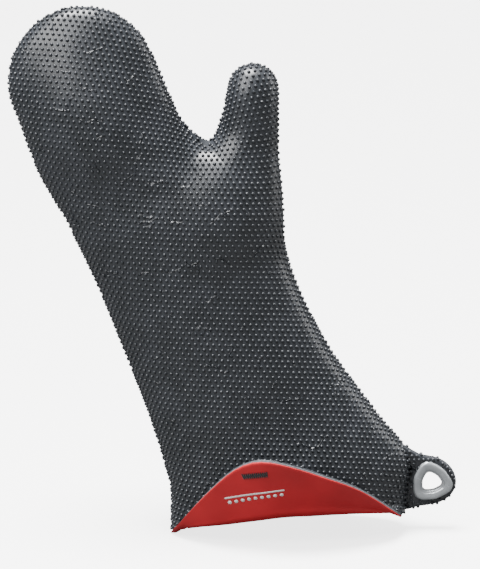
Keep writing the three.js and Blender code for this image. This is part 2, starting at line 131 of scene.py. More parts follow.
def makeRubber():  # moulded neoprene-like rubber: satin, with a dusty bloom and fine pores
    look = rubberLook
    finish, tree, shader = newFinish("nubbedRubber", "292c30", look["dull"], IOR=1.52)
    where, cloud = mottle(tree, shader, "25282c", "2e3136", look["bloomScale"])
    fine, pores = grain(tree, shader, where, look["pore"], look["poreDepth"], 0.3)
    roughBetween(tree, shader, cloud.outputs["Fac"], look["glossy"], look["dull"])
    # short creases: edges of warped cells, kept only in patches
    warp = addNode(tree, "ShaderNodeTexNoise", {"Vector": where, "Scale": look["bendScale"], "Detail": 1.0})
    shift = addNode(tree, "ShaderNodeVectorMath", {0: warp.outputs["Color"], "Scale": look["creaseBend"]},
                    operation="SCALE")
    bent = addNode(tree, "ShaderNodeVectorMath", {0: where, 1: shift.outputs[0]}, operation="ADD")
    cells = addNode(tree, "ShaderNodeTexVoronoi", {"Vector": bent.outputs[0], "Scale": 1 / look["creaseCell"]},
                    feature="DISTANCE_TO_EDGE")
    ridge = addNode(tree, "ShaderNodeMapRange", {
        "Value": cells.outputs["Distance"], "From Max": look["creaseWidth"], "To Min": 1.0, "To Max": 0.0},
        interpolation_type="SMOOTHSTEP")
    patch = addNode(tree, "ShaderNodeTexNoise", {"Vector": where, "Scale": look["patchScale"], "Detail": 0.0})
    kept = addNode(tree, "ShaderNodeMapRange", {
        "Value": patch.outputs["Fac"], "From Min": look["patchFrom"], "From Max": look["patchTo"]})
    crease = addNode(tree, "ShaderNodeMath", {0: ridge.outputs["Result"], 1: kept.outputs["Result"]},
                     operation="MULTIPLY")
    bump = addNode(tree, "ShaderNodeBump", {
        "Height": crease.outputs[0], "Distance": look["creaseHeight"], "Strength": 0.8,
        "Normal": pores.outputs["Normal"]})
    tree.links.new(bump.outputs["Normal"], shader.inputs["Normal"])
    return finish


def makeFoam():  # closed cell foam, cut: matt, with open pores
    finish, tree, shader = newFinish("cutFoam", "44474b", 0.9)
    where = mottle(tree, shader, "3a3d41", "54575c", 420.0)[0]
    grain(tree, shader, where, 0.5 * mm, 0.3 * mm, 0.6)
    return finish


ribStep = 0.9 * mm  # coarser than the real knit, so that the ribs show


def makeLining():  # close-knit polyester jersey, bonded flat: a soft sheen over a very fine rib
    finish, tree, shader = newFinish("redJersey", "b8111c", 0.6, Sheen_Weight=0.05, Sheen_Roughness=0.4)
    shader.inputs["Sheen Tint"].default_value = toLinear("e07070")
    mottle(tree, shader, "b00e19", "c0141f", 26.0)
    flat = addNode(tree, "ShaderNodeUVMap", uv_map=flatMap).outputs["UV"]
    waveScale = 2 * math.pi / (20 * ribStep)  # at scale 1 the wave node's bands stand 2 pi / 20 apart
    rib = addNode(tree, "ShaderNodeTexWave", {"Vector": flat, "Scale": waveScale, "Distortion": 0.6, "Detail": 1.0},
                  bands_direction="X")
    bump = addNode(tree, "ShaderNodeBump", {"Height": rib.outputs["Fac"], "Distance": 0.06 * mm, "Strength": 0.5})
    tree.links.new(bump.outputs["Normal"], shader.inputs["Normal"])
    return finish


def makeTape():  # woven tape over the seam allowance
    finish, tree, shader = newFinish("seamTape", "7d2226", 0.8)
    where = mottle(tree, shader, "6f1d21", "8a272c", 300.0)[0]
    grain(tree, shader, where, 0.4 * mm, 0.2 * mm, 0.5)
    return finish


def makePlastic():  # moulded silver-grey ABS: gloss with faint flow and handling marks
    finish, tree, shader = newFinish("silverAbs", "9a9ea1", 0.26, IOR=1.53, Metallic=0.35)
    where, cloud = mottle(tree, shader, "94989b", "a3a7aa", 90.0)
    grain(tree, shader, where, 3 * mm, 0.05 * mm, 0.25)
    roughBetween(tree, shader, cloud.outputs["Fac"], 0.18, 0.34)
    return finish


def makeThread():  # bonded nylon sewing thread
    finish, tree, shader = newFinish("blackThread", "101114", 0.55, Sheen_Weight=0.2)
    where = mottle(tree, shader, "0b0c0e", "1c1d20", 500.0)[0]
    grain(tree, shader, where, 0.25 * mm, 0.1 * mm, 0.6)
    return finish


def makePrint():  # heat transfer ink, slightly worn
    finish, tree, shader = newFinish("whiteInk", "ecebe8", 0.6)
    where = mottle(tree, shader, "dcd8d4", "f4f3f0", 600.0)[0]
    grain(tree, shader, where, 0.6 * mm, 0.05 * mm, 0.4)
    return finish


rubber = makeRubber()
foam = makeFoam()
jersey = makeLining()
tape = makeTape()
silver = makePlastic()
thread = makeThread()
ink = makePrint()
print("finishes made")

# panels: the outer face of each skin is the pattern for all its layers
laminate = {"shell": 1.0 * mm, "core": 1.6 * mm, "lining": 0.6 * mm, "gap": 0.3 * mm}  # outside in
panelLook = {"subdivisions": 2, "fairing": 4, "fairingShare": 0.8, "folds": 0.9 * mm, "foldSize": 42 * mm,
             "foldEase": 25 * mm, "ripple": 0.4, "rippleSize": 1 / 2.3, "seamSlack": 1.5 * mm, "frontShare": 0.55}
handBulges = {  # x, z, reach and height of each soft swell
    "front": [(0.0, 0.258, 60 * mm, 7 * mm), (-0.028, 0.305, 34 * mm, -3 * mm), (-0.115, 0.325, 60 * mm, 4 * mm),
              (-0.085, 0.27, 35 * mm, -2.5 * mm), (0.045, 0.09, 60 * mm, -4 * mm)],
    "back": [(-0.1, 0.33, 60 * mm, 4 * mm), (-0.04, 0.26, 50 * mm, 3 * mm)],
}


def joinedGroups(faces):  # faces, grouped by what they join
    members, seen, islands = set(faces), set(), []
    for face in faces:
        if face in seen:
            continue
        seen.add(face)
        stack, island = [face], []
        while stack:
            here = stack.pop()
            island.append(here)
            for edge in here.edges:
                for other in edge.link_faces:
                    if other in members and other not in seen:
                        seen.add(other)
                        stack.append(other)
        islands.append(island)
    return islands


def gridDiagonals(bm, first):  # from one triangle's diagonal, every other one follows
    diagonal = {}
    start = bm.faces[0]
    diagonal[start] = start.edges[first]
    stack = [start]
    while stack:
        face = stack.pop()
        mine = diagonal[face]
        for edge in face.edges:
            for other in edge.link_faces:
                if other in diagonal:
                    continue
                if edge is mine:
                    diagonal[other] = edge
                else:
                    apart = next(v for v in edge.verts if v not in mine.verts)
                    diagonal[other] = next(e for e in other.edges if apart in e.verts and e is not edge)
                stack.append(other)
    return diagonal


def panelGrid(node):  # the outer face of a skin, as an open sheet of four-sided faces
    bm = bmesh.new()
    bm.from_mesh(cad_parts[node].data)
    for layer in list(bm.loops.layers.uv.values()):
        bm.loops.layers.uv.remove(layer)
    bmesh.ops.remove_doubles(bm, verts=bm.verts, dist=weld)
    near = 0.004 * mm  # how close an edge comes to the skin's thickness where it crosses the rim
    thin = [f for f in bm.faces if any(abs(e.calc_length() - laminate["shell"]) < near for e in f.edges)]
    rim = set(max(joinedGroups(thin), key=len))
    islands = joinedGroups([f for f in bm.faces if f not in rim])
    outer = max(islands, key=lambda island: sum(f.calc_area() for f in island))
    others = list(rim) + [f for island in islands if island is not outer for f in island]
    bmesh.ops.delete(bm, geom=others, context="FACES")
    bm.faces.ensure_lookup_table()
    guesses = [gridDiagonals(bm, first) for first in range(3)]
    best = max(guesses, key=lambda guess: sum(
        e.calc_length() / max(x.calc_length() for x in f.edges) for f, e in guess.items()))
    bmesh.ops.dissolve_edges(bm, edges=list(dict.fromkeys(best.values())), use_verts=False)
    bm.normal_update()
    outward = -1 if node.startswith("front") else 1
    if sum(f.normal.y * f.calc_area() for f in bm.faces) * outward < 0:
        bmesh.ops.reverse_faces(bm, faces=bm.faces)
    return bm


def unwrapFlat(piece, axisTop, axisBottom):  # in metres, turned the way the mitt stands
    bpy.context.view_layer.objects.active = piece
    piece.select_set(True)
    piece.data.uv_layers.new(name=flatMap)
    bpy.ops.object.mode_set(mode="EDIT")
    bpy.ops.mesh.select_all(action="SELECT")
    bpy.ops.uv.unwrap(method="MINIMUM_STRETCH", iterations=30, margin=0.0)
    bpy.ops.object.mode_set(mode="OBJECT")
    piece.select_set(False)
    mesh = piece.data
    layer = mesh.uv_layers[flatMap].data
    flatArea = 0.0
    for face in mesh.polygons:
        corners = [layer[k].uv for k in face.loop_indices]
        flatArea += abs(sum(a.cross(b) for a, b in zip(corners, corners[1:] + corners[:1], strict=True))) / 2
    scale = math.sqrt(sum(f.area for f in mesh.polygons) / flatArea)
    spots = {}
    for name, point in (("top", axisTop), ("bottom", axisBottom)):
        nearest = min(range(len(mesh.loops)), key=lambda k: (
            mesh.vertices[mesh.loops[k].vertex_index].co - point).length)
        spots[name] = layer[nearest].uv.copy()
    up = spots["top"] - spots["bottom"]
    real = axisTop - axisBottom
    turn = Matrix.Rotation(math.atan2(real.z, real.x) - math.atan2(up.y, up.x), 2)
    for loop in layer:
        loop.uv = turn @ ((loop.uv - spots["bottom"]) * scale)


def fairPanel(node):  # one skin's outer face, rounded between the solid's own corners
    piece = addPiece(node + "Pattern", panelGrid(node), rubber)
    low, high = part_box(node)
    width = high.x - low.x
    fingertip = Vector((low.x + 0.2 * width, 0, high.z))
    cuff = Vector((low.x + 0.7 * width, -0.05 if "front" in node else 0.05, 0.06))
    rounding = piece.modifiers.new("rounding", "SUBSURF")
    rounding.levels = rounding.render_levels = panelLook["subdivisions"]
    rounding.boundary_smooth = "PRESERVE_CORNERS"
    wanted = [v.co.copy() for v in piece.data.vertices]
    for _ in range(panelLook["fairing"]):  # the rounded sheet is brought back onto the solid's corners
        mesh = evaluatedCopy(piece)
        for v, place in zip(piece.data.vertices, wanted, strict=True):
            v.co += panelLook["fairingShare"] * (place - mesh.vertices[v.index].co)
        bpy.data.meshes.remove(mesh)
    rounded = evaluatedCopy(piece)
    piece.modifiers.clear()
    piece.data = rounded
    unwrapFlat(piece, fingertip, cuff)
    bm = bmesh.new()
    bm.from_mesh(rounded)
    bpy.data.objects.remove(piece)
    bm.normal_update()
    return bm


def spotTree(verts):  # finds the nearest of some points
    tree = KDTree(len(verts))
    for k, v in enumerate(verts):
        tree.insert(v.co, k)
    tree.balance()
    return tree


def borderOf(bm):
    return [v for v in bm.verts if v.is_boundary]


def closeSeam(front, back):  # brings both edges onto one line; returns what is on it, with one normal
    met = []
    borders = [borderOf(front), borderOf(back)]
    trees = [spotTree(border) for border in borders]
    share = panelLook["frontShare"]
    for mine, other in ((0, 1), (1, 0)):
        found = {}
        for v in borders[mine]:
            near, index, distance = trees[other].find(v.co)
            if distance < panelLook["seamSlack"]:
                partner = borders[other][index]
                found[v] = (v.co * share + near * (1 - share), (v.normal + partner.normal).normalized())
        met.append(found)
    for found in met:
        for v, (place, _) in found.items():
            v.co = place
    return [{v: normal for v, (_, normal) in found.items()} for found in met]


def addBulges(bm, seam, bulges):  # soft swells and hollows of the worn hand, at (x, z) on one face
    for x, z, reach, height in bulges:
        for v in bm.verts:
            if v in seam:
                continue
            away = math.hypot(v.co.x - x, v.co.z - z) / reach
            if away < 1:
                v.co += v.normal * height * (1 - away * away) ** 2
        bm.normal_update()


def addFolds(bm, seam, seed):  # slow waves of a thick laminate, none at the seam
    tree = spotTree(seam)
    moves = []
    for v in bm.verts:
        away = min(tree.find(v.co)[2] / panelLook["foldEase"], 1.0)
        spot = v.co / panelLook["foldSize"] + Vector((seed, 0, 0))
        wave = noise.noise(spot) + panelLook["ripple"] * noise.noise(spot / panelLook["rippleSize"])
        moves.append((v, v.normal * wave * panelLook["folds"] * away))
    for v, move in moves:
        v.co += move
    bm.normal_update()


def layerPiece(name, sheet, seam, near, far, material):  # closed sheet between two depths
    bm = bmesh.new()
    flat = bm.loops.layers.uv.new(flatMap)
    source = sheet.loops.layers.uv[flatMap]
    sheet.verts.index_update()
    rows = []
    for depth in (near, far):
        rows.append([bm.verts.new(v.co - seam.get(v, v.normal) * depth) for v in sheet.verts])
    for face in sheet.faces:
        corners = [(loop.vert.index, loop[source].uv) for loop in face.loops]
        for row, order in ((rows[0], corners), (rows[1], corners[::-1])):
            made = bm.faces.new([row[n] for n, uv in order])
            for loop, (n, uv) in zip(made.loops, order, strict=True):
                loop[flat].uv = uv
    for edge in sheet.edges:
        if not edge.is_boundary:
            continue
        loop = edge.link_loops[0]
        a, b = loop.vert.index, loop.link_loop_next.vert.index
        uvs = (loop.link_loop_next[source].uv, loop[source].uv)
        made = bm.faces.new([rows[0][b], rows[0][a], rows[1][a], rows[1][b]])
        for corner, uv in zip(made.loops, (uvs[0], uvs[1], uvs[1], uvs[0]), strict=True):
            corner[flat].uv = uv
    return addPiece(name, bm, material)


sheets = {"front": fairPanel("front_shell"), "back": fairPanel("back_shell")}
seams = dict(zip(sheets, closeSeam(*sheets.values()), strict=True))
for seed, side in enumerate(sheets):
    addBulges(sheets[side], seams[side], handBulges[side])
    addFolds(sheets[side], seams[side], 7.3 * seed)

coreNear = laminate["shell"] + laminate["gap"]
liningNear = coreNear + laminate["core"] + laminate["gap"]
layerDepths = {
    "Skin": (0.0, laminate["shell"], rubber, "shell", "nubbed_rubber"),
    "Foam": (coreNear, coreNear + laminate["core"], foam, "core", "foam_edge"),
    "Lining": (liningNear, liningNear + laminate["lining"], jersey, "lining", "red_lining"),
}
for side, sheet in sheets.items():
    for layer, (near, far, material, node, slot) in layerDepths.items():
        piece = layerPiece(side + layer, sheet, seams[side], near, far, material)
        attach(piece, "root")
        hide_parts(f"{side}_{node}")


# nubs: a lattice in the flat pattern, carried onto the panel by its UV map
nubLook = {"pitch": 4.7 * mm, "radius": 1.4 * mm, "height": 1.6 * mm, "sunk": 0.25 * mm, "sides": 8,
           "dome": [(0.93, 0.4), (0.6, 0.84)], "smallest": 0.94, "largest": 1.05, "seed": 11, "edgeMargin": 1.2 * mm}


def nubShape():  # low dome with a foot sunk in the skin
    bm = bmesh.new()
    sides = nubLook["sides"]
    profile = [(1.0, -nubLook["sunk"])]
    profile += [(reach, rise * nubLook["height"]) for reach, rise in nubLook["dome"]]
    rings = []
    for reach, height in profile:
        radius = reach * nubLook["radius"]
        angles = [2 * math.pi * k / sides for k in range(sides)]
        rings.append([bm.verts.new((radius * math.cos(turn), radius * math.sin(turn), height)) for turn in angles])
    for low, high in zip(rings, rings[1:], strict=False):
        for k in range(sides):
            bm.faces.new([low[k], low[(k + 1) % sides], high[(k + 1) % sides], high[k]])
    tip = bm.verts.new((0, 0, nubLook["height"]))
    for k in range(sides):
        bm.faces.new([rings[-1][k], rings[-1][(k + 1) % sides], tip])
    bm.faces.new(rings[0][::-1])
    return addPiece("nubShape", bm, rubber)


def nubTree():  # named inputs: pitch of the lattice, its reach, and the nub to copy
    tree = bpy.data.node_groups.new("nubLattice", "GeometryNodeTree")
    face = tree.interface
    face.new_socket("Panel", in_out="INPUT", socket_type="NodeSocketGeometry")
    face.new_socket("Pitch", in_out="INPUT", socket_type="NodeSocketFloat")
    face.new_socket("Columns", in_out="INPUT", socket_type="NodeSocketInt")
    face.new_socket("Rows", in_out="INPUT", socket_type="NodeSocketInt")
    face.new_socket("Middle", in_out="INPUT", socket_type="NodeSocketVector")
    face.new_socket("Nub", in_out="INPUT", socket_type="NodeSocketObject")
    face.new_socket("Finish", in_out="INPUT", socket_type="NodeSocketMaterial")
    face.new_socket("Nubs", in_out="OUTPUT", socket_type="NodeSocketGeometry")
    given = addNode(tree, "NodeGroupInput").outputs

    def maths(operation, a, b):
        return addNode(tree, "ShaderNodeMath", {0: a, 1: b}, operation=operation).outputs[0]

    step = maths("MULTIPLY", given["Pitch"], math.sqrt(3) / 2)
    wide = maths("MULTIPLY", given["Pitch"], maths("SUBTRACT", given["Columns"], 1.0))
    tall = maths("MULTIPLY", step, maths("SUBTRACT", given["Rows"], 1.0))
    grid = addNode(tree, "GeometryNodeMeshGrid", {
        "Size X": wide, "Size Y": tall, "Vertices X": given["Columns"], "Vertices Y": given["Rows"]})
    place = addNode(tree, "GeometryNodeInputPosition").outputs[0]
    parts = addNode(tree, "ShaderNodeSeparateXYZ", {0: place}).outputs
    row = maths("ROUND", maths("DIVIDE", maths("ADD", parts["Y"], tall), step), 0.0)
    shift = maths("MULTIPLY", maths("MODULO", row, 2.0), maths("MULTIPLY", given["Pitch"], 0.5))
    spot = addNode(tree, "ShaderNodeCombineXYZ", {"X": maths("ADD", parts["X"], shift), "Y": parts["Y"]})
    spot = addNode(tree, "ShaderNodeVectorMath", {0: spot.outputs[0], 1: given["Middle"]}, operation="ADD")
    flat = addNode(tree, "GeometryNodeInputNamedAttribute", {"Name": flatMap}, data_type="FLOAT_VECTOR")
    lattice = addNode(tree, "GeometryNodeMeshToPoints", {"Mesh": grid.outputs["Mesh"]})
    placed = addNode(tree, "GeometryNodeSetPosition", {
        "Geometry": lattice.outputs[0], "Position": spot.outputs[0]})
    here = addNode(tree, "GeometryNodeInputPosition").outputs[0]
    normal = addNode(tree, "GeometryNodeInputNormal").outputs[0]
    sample = {"Mesh": given["Panel"], "Source UV Map": flat.outputs["Attribute"], "Sample UV": here}
    onPanel = addNode(tree, "GeometryNodeSampleUVSurface", {**sample, "Value": here}, data_type="FLOAT_VECTOR")
    facing = addNode(tree, "GeometryNodeSampleUVSurface", {**sample, "Value": normal}, data_type="FLOAT_VECTOR")
    stored = addNode(tree, "GeometryNodeStoreNamedAttribute", {
        "Geometry": placed.outputs[0], "Name": "facing", "Value": facing.outputs["Value"]},
        data_type="FLOAT_VECTOR", domain="POINT")
    missed = addNode(tree, "FunctionNodeBooleanMath", {0: onPanel.outputs["Is Valid"]}, operation="NOT")
    outside = addNode(tree, "GeometryNodeStoreNamedAttribute", {
        "Geometry": stored.outputs[0], "Name": "outside", "Value": missed.outputs[0]},
        data_type="BOOLEAN", domain="POINT")
    carried = addNode(tree, "GeometryNodeSetPosition", {
        "Geometry": outside.outputs[0], "Position": onPanel.outputs["Value"]})
    wasOutside = addNode(tree, "GeometryNodeInputNamedAttribute", {"Name": "outside"}, data_type="BOOLEAN")
    kept = addNode(tree, "GeometryNodeDeleteGeometry", {
        "Geometry": carried.outputs[0], "Selection": wasOutside.outputs["Attribute"]}, domain="POINT")
    way = addNode(tree, "GeometryNodeInputNamedAttribute", {"Name": "facing"}, data_type="FLOAT_VECTOR")
    upright = addNode(tree, "FunctionNodeAlignRotationToVector", {"Vector": way.outputs["Attribute"]}, axis="Z")
    size = addNode(tree, "FunctionNodeRandomValue", {
        2: nubLook["smallest"], 3: nubLook["largest"], "Seed": nubLook["seed"]}, data_type="FLOAT")
    nub = addNode(tree, "GeometryNodeObjectInfo", {"Object": given["Nub"]}, transform_space="ORIGINAL")
    copies = addNode(tree, "GeometryNodeInstanceOnPoints", {
        "Points": kept.outputs[0], "Instance": nub.outputs["Geometry"],
        "Rotation": upright.outputs["Rotation"], "Scale": size.outputs[1]})
    real = addNode(tree, "GeometryNodeRealizeInstances", {"Geometry": copies.outputs[0]})
    painted = addNode(tree, "GeometryNodeSetMaterial", {"Geometry": real.outputs[0], "Material": given["Finish"]})
    addNode(tree, "NodeGroupOutput", {"Nubs": painted.outputs[0]})
    return tree


def openSheet(name, sheet):  # the panel's outer face, less a strip along its edges
    bm = sheet.copy()
    tree = spotTree(borderOf(bm))
    near = [f for f in bm.faces if tree.find(f.calc_center_median())[2] < nubLook["edgeMargin"]]
    bmesh.ops.delete(bm, geom=near, context="FACES")
    return addPiece(name, bm, rubber)


def addNubs(name, carrier, pitch):  # covers the carrier with nubs and takes the carrier away
    layer = carrier.data.uv_layers[flatMap].data
    us = [loop.uv.x for loop in layer]
    vs = [loop.uv.y for loop in layer]
    columns = int((max(us) - min(us)) / pitch) + 4
    rows = int((max(vs) - min(vs)) / (pitch * math.sqrt(3) / 2)) + 4
    middle = ((max(us) + min(us)) / 2, (max(vs) + min(vs)) / 2, 0)
    values = {"Pitch": pitch, "Columns": columns, "Rows": rows, "Middle": middle, "Nub": nub, "Finish": rubber}
    lattice = carrier.modifiers.new("nubs", "NODES")
    lattice.node_group = nubPattern
    for item in nubPattern.interface.items_tree:
        if item.name in values:
            lattice[item.identifier] = values[item.name]
    mesh = evaluatedCopy(carrier)
    bpy.data.objects.remove(carrier)
    mesh.name = name
    piece = bpy.data.objects.new(name, mesh)
    scene.collection.objects.link(piece)
    for face in mesh.polygons:
        face.use_smooth = True
    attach(piece, "root")
    return piece


nubPattern = nubTree()
nub = nubShape()
for side, sheet in sheets.items():
    addNubs(side + "Nubs", openSheet(side + "Carrier", sheet), nubLook["pitch"])


class FlatToSheet:  # carries a point of the flat pattern onto a sheet at some depth, and back
    def __init__(self, sheet, seam, depth):
        source = sheet.loops.layers.uv[flatMap]
        self.spots, self.flats, faces = [], [], []
        for face in sheet.faces:
            loops = list(face.loops)
            for trio in ((0, 1, 2), (0, 2, 3)):
                start = len(self.spots)
                for k in trio:
                    v = loops[k].vert
                    self.spots.append(v.co - seam.get(v, v.normal) * depth)
                    self.flats.append(Vector((*loops[k][source].uv, 0)))
                faces.append((start, start + 1, start + 2))
        self.flatTree = BVHTree.FromPolygons(self.flats, faces)
        self.spaceTree = BVHTree.FromPolygons(self.spots, faces)

    def carry(self, tree, point, source, target):
        near, _, index, _ = tree.find_nearest(point)
        corners = slice(3 * index, 3 * index + 3)
        return barycentric_transform(near, *source[corners], *target[corners])

    def place(self, u, v):
        return self.carry(self.flatTree, Vector((u, v, 0)), self.flats, self.spots)

    def flatOf(self, spot):
        return self.carry(self.spaceTree, spot, self.spots, self.flats)


def raisedPatch(bm, outline, under, over):  # a small closed solid between two depths of the lining
    low = [bm.verts.new(under.place(u, v)) for u, v in outline]
    high = [bm.verts.new(over.place(u, v)) for u, v in outline]
    count = len(outline)
    for k in range(count):
        bm.faces.new([low[k], low[(k + 1) % count], high[(k + 1) % count], high[k]])
    bm.faces.new(high)
    bm.faces.new(low[::-1])


def roundDot(u, v, radius, steps=12):
    angles = [-math.pi / 2 + 2 * math.pi * k / steps for k in range(steps)]
    return [(u + radius * math.cos(turn), v + radius * math.sin(turn)) for turn in angles]


def overLining(height):  # the front lining's bare face, or a skin just above it
    return FlatToSheet(sheets["front"], seams["front"], liningNear + laminate["lining"] + height)


def boxMiddle(node):
    low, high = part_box(node)
    return (low + high) / 2


liningFace = overLining(0.0)
markLook = {"dots": 9, "dotSize": 3.0 * mm, "dotStep": 5.0 * mm, "bar": 46 * mm, "barWidth": 1.5 * mm,
            "barPieces": 12, "rise": 4.2 * mm, "thickness": 0.12 * mm, "weld": 0.005 * mm}


def makeMark():  # generic mark: a row of dots over a bar
    spot = liningFace.flatOf(boxMiddle("printed_mark"))
    top = overLining(markLook["thickness"])
    bm = bmesh.new()
    for k in range(markLook["dots"]):
        u = spot.x + (k - (markLook["dots"] - 1) / 2) * markLook["dotStep"]
        dot = roundDot(u, spot.y + markLook["rise"] / 2, markLook["dotSize"] / 2)
        raisedPatch(bm, dot, liningFace, top)
    v = spot.y - markLook["rise"] / 2
    step = markLook["bar"] / markLook["barPieces"]
    w = markLook["barWidth"] / 2
    for k in range(markLook["barPieces"]):  # the bar in short lengths, so that it bends with the lining
        u = spot.x + (k - markLook["barPieces"] / 2) * step
        raisedPatch(bm, [(u, v - w), (u + step, v - w), (u + step, v + w), (u, v + w)], liningFace, top)
    bmesh.ops.remove_doubles(bm, verts=bm.verts, dist=markLook["weld"])
    inner = [f for f in bm.faces if all(len(e.link_faces) > 2 for e in f.edges)]  # walls between the bar's lengths
    bmesh.ops.delete(bm, geom=inner, context="FACES_ONLY")
    bmesh.ops.recalc_face_normals(bm, faces=bm.faces)
    piece = addPiece("printedMark", bm, ink)
    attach(piece, "root")
    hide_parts("printed_mark")
    return piece


tackLook = {"length": 19 * mm, "height": 5.2 * mm, "stitches": 12, "thread": 0.5 * mm, "sunk": 0.6, "steps": 5}


def threadTube(bm, path, radius, sides=6):
    rings = []
    for k, spot in enumerate(path):
        ahead = (path[min(k + 1, len(path) - 1)] - path[max(k - 1, 0)]).normalized()
        side = ahead.cross(Vector((0, -1, 0))).normalized()
        lift = side.cross(ahead)
        angles = [2 * math.pi * n / sides for n in range(sides)]
        rings.append([bm.verts.new(spot + radius * (math.cos(turn) * side + math.sin(turn) * lift))
                      for turn in angles])
    for a, b in zip(rings, rings[1:], strict=False):
        for n in range(sides):
            bm.faces.new([a[n], a[(n + 1) % sides], b[(n + 1) % sides], b[n]])
    bm.faces.new(rings[0][::-1])
    bm.faces.new(rings[-1])


def makeBarTack():  # dense zigzag of thread, partly sunk in the lining
    spot = liningFace.flatOf(boxMiddle("label_bartack"))
    over = overLining(tackLook["thread"] * (1 - tackLook["sunk"]))
    bm = bmesh.new()
    path = []
    count = 2 * tackLook["stitches"]
    for k in range(count + 1):
        u = spot.x + (k / count - 0.5) * tackLook["length"]
        v = spot.y + (0.5 if k % 2 else -0.5) * tackLook["height"]
        corner = Vector((u, v))
        if path:
            before = path[-1]
            path += [before.lerp(corner, n / tackLook["steps"]) for n in range(1, tackLook["steps"])]
        path.append(corner)
    threadTube(bm, [over.place(*spot) for spot in path], tackLook["thread"])
    bmesh.ops.recalc_face_normals(bm, faces=bm.faces)
    piece = addPiece("liningBarTack", bm, thread)
    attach(piece, "root")
    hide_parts("label_bartack")
    return piece


mark = makeMark()
barTack = makeBarTack()
print("lining trims made")


bindingLook = {"flatAngle": 0.35, "edge": 0.5 * mm, "edgeSteps": 2}


def makeBinding():  # tape over the seam allowance, its edges eased
    bm = bmesh.new()
    bm.from_mesh(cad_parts["seam_binding"].data)
    bmesh.ops.remove_doubles(bm, verts=bm.verts, dist=weld)
    flats = [e for e in bm.edges if len(e.link_faces) == 2 and e.calc_face_angle(1) < bindingLook["flatAngle"]
             and all(max(f.edges, key=lambda x: x.calc_length()) is e for f in e.link_faces)]
    bmesh.ops.dissolve_edges(bm, edges=flats, use_verts=False)
    piece = addPiece("seamBinding", bm, tape)
    bevel = piece.modifiers.new("edge", "BEVEL")
    bevel.width = bindingLook["edge"]
    bevel.segments = bindingLook["edgeSteps"]
    bevel.limit_method = "ANGLE"
    mesh = evaluatedCopy(piece)
    piece.modifiers.clear()
    piece.data = mesh
    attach(piece, "root")
    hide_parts("seam_binding")
    return piece


binding = makeBinding()
print("seam binding made")

eyeletLook = {"corner": 0.1, "point": 0.025, "turn": 107, "steps": 96, "radius": 15.4 * mm, "hole": 7.4 * mm,
              "dome": 2.8 * mm, "barrel": 1.4 * mm, "step": 1.7 * mm, "lift": 0.1 * mm,
              # inset from the rim or from the hole, and the share of the dome's height there
              "crown": [(0.0, 0.0), (0.15, 0.4), (0.7, 0.78), (1.6, 0.97), (2.6, 1.0)],
              "mouth": [(2.6, 0.96), (2.1, 0.86), (1.7, 0.6), (1.3, 0.56), (0.5, 0.5), (0.0, 0.2)]}


def triangleReach(angle, radius):  # rounded triangle with nearly straight sides
    lobe = 3 * (angle - math.radians(eyeletLook["turn"]))
    return radius * (1 + eyeletLook["corner"] * math.cos(lobe) + eyeletLook["point"] * math.cos(2 * lobe))


def ringMiddle():  # the rounded triangle's own middle, as a mean of its rim
    points = [v.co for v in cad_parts["eyelet_front"].data.vertices]
    return sum(points, Vector()) / len(points)


tabLow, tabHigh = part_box("hang_tab")
tabMiddleY = (tabLow.y + tabHigh.y) / 2
tabDepth = tabHigh.y - tabLow.y
eyeletMiddle = ringMiddle()


def eyeletFlange(name, node, face, way, hole):  # domed ring; way is -1 in front, 1 behind
    bm = bmesh.new()
    steps, dome, barrel = eyeletLook["steps"], eyeletLook["dome"], eyeletLook["barrel"]
    width = eyeletLook["radius"] - hole
    profile = [(inset * mm, rise * dome) for inset, rise in eyeletLook["crown"]]
    profile += [(width - inset * mm, rise * dome) for inset, rise in eyeletLook["mouth"]]
    profile += [(width, -tabDepth / 2), (width - barrel, -tabDepth / 2), (width - barrel, 0.0)]
    rings = []
    for k in range(steps):
        angle = 2 * math.pi * k / steps
        ring = []
        for inset, depth in profile:
            reach = triangleReach(angle, eyeletLook["radius"] - inset)
            ring.append(bm.verts.new((eyeletMiddle.x + reach * math.cos(angle), face + way * depth,
                                      eyeletMiddle.z + reach * math.sin(angle))))
        rings.append(ring)
    count = len(profile)
    for k in range(steps):
        a, b = rings[k], rings[(k + 1) % steps]
        for n in range(count):
            bm.faces.new([a[n], b[n], b[(n + 1) % count], a[(n + 1) % count]])
    bmesh.ops.recalc_face_normals(bm, faces=bm.faces)
    piece = addPiece(name, bm, silver)
    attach(piece, "root")
    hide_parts(node)
    return piece


frontRing = eyeletFlange("eyeletFront", "eyelet_front", tabLow.y - eyeletLook["lift"], -1, eyeletLook["hole"])
backRing = eyeletFlange("eyeletBack", "eyelet_back", tabHigh.y + eyeletLook["lift"], 1,
                        eyeletLook["hole"] + eyeletLook["step"])
tabLook = {"edge": 3.2 * mm, "thinnest": 0.4 * mm, "tuck": 3 * mm, "tuckFrom": 17 * mm, "tuckPast": 6 * mm,
           "step": 2.5 * mm, "easing": 3, "holeSlack": 1.0 * mm, "rings": [0, 0.05, 0.14, 0.3, 0.55, 0.8, 1.0],
           "nubShare": 0.8, "nubsFromRing": 0.9 * mm, "nubsFromEdge": 0.3 * mm}


